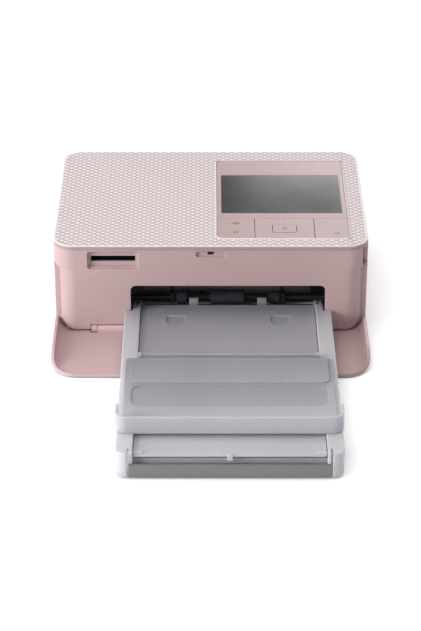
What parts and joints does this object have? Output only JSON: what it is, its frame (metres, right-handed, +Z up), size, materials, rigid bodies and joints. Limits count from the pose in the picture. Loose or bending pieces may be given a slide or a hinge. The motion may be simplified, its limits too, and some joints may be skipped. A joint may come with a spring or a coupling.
{
  "type": "compact photo printer",
  "caption": "Flat box-shaped dye-sublimation photo printer with display panel, folded-down front door and a frosted paper cassette in its front opening.",
  "frame": {"origin": "on the table plane, under the middle of the whole outline with the cassette in place and the front door open", "axes": "+X to the right as seen from the front, +Y to the back of the printer, +Z up"},
  "size_m": [0.1822, 0.2862, 0.0576],
  "materials": {
    "textured_shell": "matte pearl with a fine moulded lattice",
    "pink_shell": "fine satin moulded plastic",
    "pink_fascia": "fine satin moulded plastic",
    "foot_rubber": "matte",
    "screw_steel": "zinc-plated",
    "pink_door": "fine satin moulded plastic",
    "pink_panel": "smooth semi-gloss plastic",
    "screen_glass": "polished dark window over an unlit display",
    "black_plastic": "matte moulded plastic",
    "pink_keys": "smooth satin plastic",
    "circuit_board": "solder mask",
    "sheet_steel": "zinc-plated sheet",
    "shaft_steel": "ground steel",
    "roller_rubber": "matte, navy black",
    "gear_plastic": "natural acetal",
    "motor_steel": "drawn steel can",
    "pinion_brass": "turned",
    "head_ceramic": "glazed ceramic bar on a grey carrier",
    "sink_aluminium": "extruded",
    "ink_plastic": "matte moulded plastic",
    "ribbon_film": "coated film",
    "spool_plastic": "moulded plastic",
    "lever_plastic": "moulded plastic",
    "frosted_plastic": "translucent frosted polypropylene",
    "grey_plastic": "satin opaque plastic"
  },
  "bodies": {
    "housing": {"top_cover": "textured_shell", "side_shell": "pink_shell", "front_fascia": "pink_fascia", "rear_panel": "pink_shell", "bottom_cover": "pink_shell", "feet": "foot_rubber", "case_screws": "screw_steel", "control_panel": "pink_panel", "screen_window": "screen_glass", "lcd_module": "black_plastic", "key_board": "circuit_board", "main_board": "circuit_board", "card_socket": "sheet_steel", "usb_port": "sheet_steel", "power_socket": "black_plastic", "chassis": "sheet_steel", "paper_guide": "black_plastic", "motor": "motor_steel", "ink_shell": "ink_plastic", "ink_ribbon": "ribbon_film"},
    "front_door": {"front_door": "pink_door"},
    "menu_key": {"menu_key": "pink_keys"},
    "nav_carrier": {"nav_carrier": "black_plastic"},
    "nav_pad": {"nav_pad": "pink_keys"},
    "ok_button": {"ok_button": "pink_keys"},
    "power_key": {"power_key": "pink_keys"},
    "pick_up": {"pick_shaft": "shaft_steel", "pick_roller": "roller_rubber", "side_rollers": "roller_rubber", "pick_gear": "gear_plastic"},
    "capstan": {"capstan_roller": "shaft_steel", "capstan_gear": "gear_plastic"},
    "idler_gear": {"idler_gear": "gear_plastic"},
    "platen": {"platen_shaft": "shaft_steel", "platen_roller": "roller_rubber", "platen_gear": "gear_plastic"},
    "motor_pinion": {"motor_pinion": "pinion_brass"},
    "thermal_head": {"thermal_head": "head_ceramic", "heat_sink": "sink_aluminium"},
    "ink_door": {"ink_door": "pink_shell"},
    "supply_spool": {"supply_spool": "ribbon_film"},
    "takeup_spool": {"takeup_spool": "spool_plastic"},
    "eject_lever": {"eject_lever": "lever_plastic"},
    "cassette": {"cassette_base": "frosted_plastic", "cassette_end_bar": "grey_plastic"},
    "lift_plate": {"lift_plate": "sheet_steel"},
    "inner_lid": {"inner_lid": "frosted_plastic"},
    "outer_lid": {"outer_lid": "frosted_plastic"}
  },
  "joints": [
    {"name": "front_door_hinge", "type": "hinge", "parent": "housing", "child": "front_door", "pos_m": [0, 0.0129, 0.0031], "axis": [1, 0, 0], "range_deg": [-2.5, 0]},
    {"name": "menu_key_rock", "type": "hinge", "parent": "housing", "child": "menu_key", "pos_m": [0.0146, 0.0356, 0.0567], "axis": [1, 0, 0], "range_deg": [-1.2, 1.2], "stiffness_Nm_per_rad": 0.4},
    {"name": "nav_carrier_tilt", "type": "hinge", "parent": "housing", "child": "nav_carrier", "pos_m": [0.043, 0.035, 0.0548], "axis": [0, 1, 0], "range_deg": [-1, 1], "stiffness_Nm_per_rad": 0.6},
    {"name": "nav_pad_tilt", "type": "hinge", "parent": "nav_carrier", "child": "nav_pad", "pos_m": [0.043, 0.035, 0.0548], "axis": [1, 0, 0], "range_deg": [-1, 1], "stiffness_Nm_per_rad": 0.6},
    {"name": "ok_button_press", "type": "slide", "parent": "housing", "child": "ok_button", "axis": [0, 0, -1], "range_m": [0, 0.0004], "stiffness_N_per_m": 600},
    {"name": "power_key_press", "type": "hinge", "parent": "housing", "child": "power_key", "pos_m": [0.0704, 0.0483, 0.0567], "axis": [1, 0, 0], "range_deg": [0, 1], "stiffness_Nm_per_rad": 0.6},
    {"name": "platen_spin", "type": "hinge", "parent": "housing", "child": "platen", "pos_m": [0.01, 0.0783, 0.0175], "axis": [1, 0, 0], "continuous": true},
    {"name": "capstan_spin", "type": "hinge", "parent": "housing", "child": "capstan", "pos_m": [0.01, 0.0583, 0.0175], "axis": [1, 0, 0], "continuous": true},
    {"name": "idler_spin", "type": "hinge", "parent": "housing", "child": "idler_gear", "pos_m": [-0.055, 0.04276, 0.02577], "axis": [1, 0, 0], "continuous": true},
    {"name": "pick_up_spin", "type": "hinge", "parent": "housing", "child": "pick_up", "pos_m": [0.01, 0.0303, 0.0145], "axis": [1, 0, 0], "continuous": true},
    {"name": "motor_spin", "type": "hinge", "parent": "housing", "child": "motor_pinion", "pos_m": [-0.055, 0.09013, 0.03159], "axis": [1, 0, 0], "continuous": true},
    {"name": "thermal_head_lift", "type": "hinge", "parent": "housing", "child": "thermal_head", "pos_m": [0.01, 0.0699, 0.043], "axis": [1, 0, 0], "range_deg": [0, 4]},
    {"name": "ink_door_hinge", "type": "hinge", "parent": "housing", "child": "ink_door", "pos_m": [0.0886, 0.0718, 0.0106], "axis": [0, 1, 0], "range_deg": [0, 85]},
    {"name": "supply_spool_spin", "type": "hinge", "parent": "housing", "child": "supply_spool", "pos_m": [0, 0.0563, 0.036], "axis": [1, 0, 0], "continuous": true},
    {"name": "takeup_spool_spin", "type": "hinge", "parent": "housing", "child": "takeup_spool", "pos_m": [0, 0.1003, 0.036], "axis": [1, 0, 0], "continuous": true},
    {"name": "eject_lever_turn", "type": "hinge", "parent": "housing", "child": "eject_lever", "pos_m": [0.07, 0.1163, 0.038], "axis": [1, 0, 0], "range_deg": [0, 15]},
    {"name": "cassette_slide", "type": "slide", "parent": "housing", "child": "cassette", "axis": [0, -1, 0], "range_m": [0, 0.045]},
    {"name": "lift_plate_hinge", "type": "hinge", "parent": "cassette", "child": "lift_plate", "pos_m": [0.01, -0.0277, 0.0088], "axis": [1, 0, 0], "range_deg": [0, 0.8]},
    {"name": "inner_lid_hinge", "type": "hinge", "parent": "cassette", "child": "inner_lid", "pos_m": [0.01, -0.1387, 0.0131], "axis": [1, 0, 0], "range_deg": [0, 5]},
    {"name": "outer_lid_hinge", "type": "hinge", "parent": "inner_lid", "child": "outer_lid", "pos_m": [0.01, -0.0437, 0.0176], "axis": [-1, 0, 0], "range_deg": [0, 130]}
  ],
  "couplings": [
    {"joint": "capstan_spin", "follows": "platen_spin", "ratio": -1.5},
    {"joint": "idler_spin", "follows": "platen_spin", "ratio": 1.25},
    {"joint": "pick_up_spin", "follows": "platen_spin", "ratio": -1.6667},
    {"joint": "motor_spin", "follows": "platen_spin", "ratio": -1.875}
  ]
}
